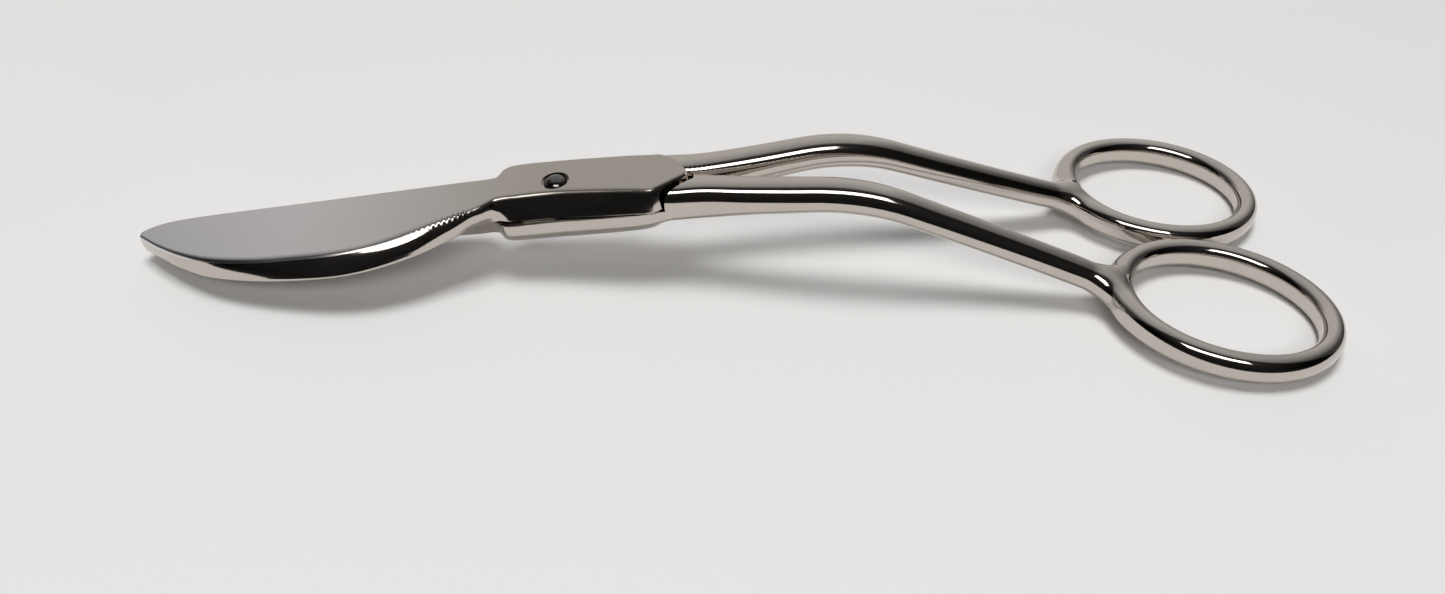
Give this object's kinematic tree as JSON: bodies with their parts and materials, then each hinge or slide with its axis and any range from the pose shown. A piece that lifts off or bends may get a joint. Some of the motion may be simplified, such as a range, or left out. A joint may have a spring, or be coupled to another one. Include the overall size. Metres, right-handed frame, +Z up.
{
  "type": "duckbill trimming scissors",
  "caption": "Duckbill scissors with a wide paddle blade over a narrow knife blade, cranked shanks, two finger rings and a rivet.",
  "frame": {"origin": "on the table, under the middle of the bounding box of the closed scissors", "axes": "+X from the blade tips to the finger rings, +Y to the paddle half's ring, +Z up from the table"},
  "size_m": [0.1496, 0.049, 0.0162],
  "materials": {
    "plated_steel": "polished nickel plate, ground satin on the flat faces",
    "rivet_steel": "polished"
  },
  "bodies": {
    "knife": {"knife_half": "plated_steel", "pivot_rivet": "rivet_steel"},
    "paddle": {"paddle_half": "plated_steel"}
  },
  "joints": [
    {"name": "rivet_hinge", "type": "hinge", "parent": "knife", "child": "paddle", "pos_m": [-0.02258, 0, 0.00921], "axis": [-0.1478, 0, 0.989], "range_deg": [0, 55]}
  ]
}
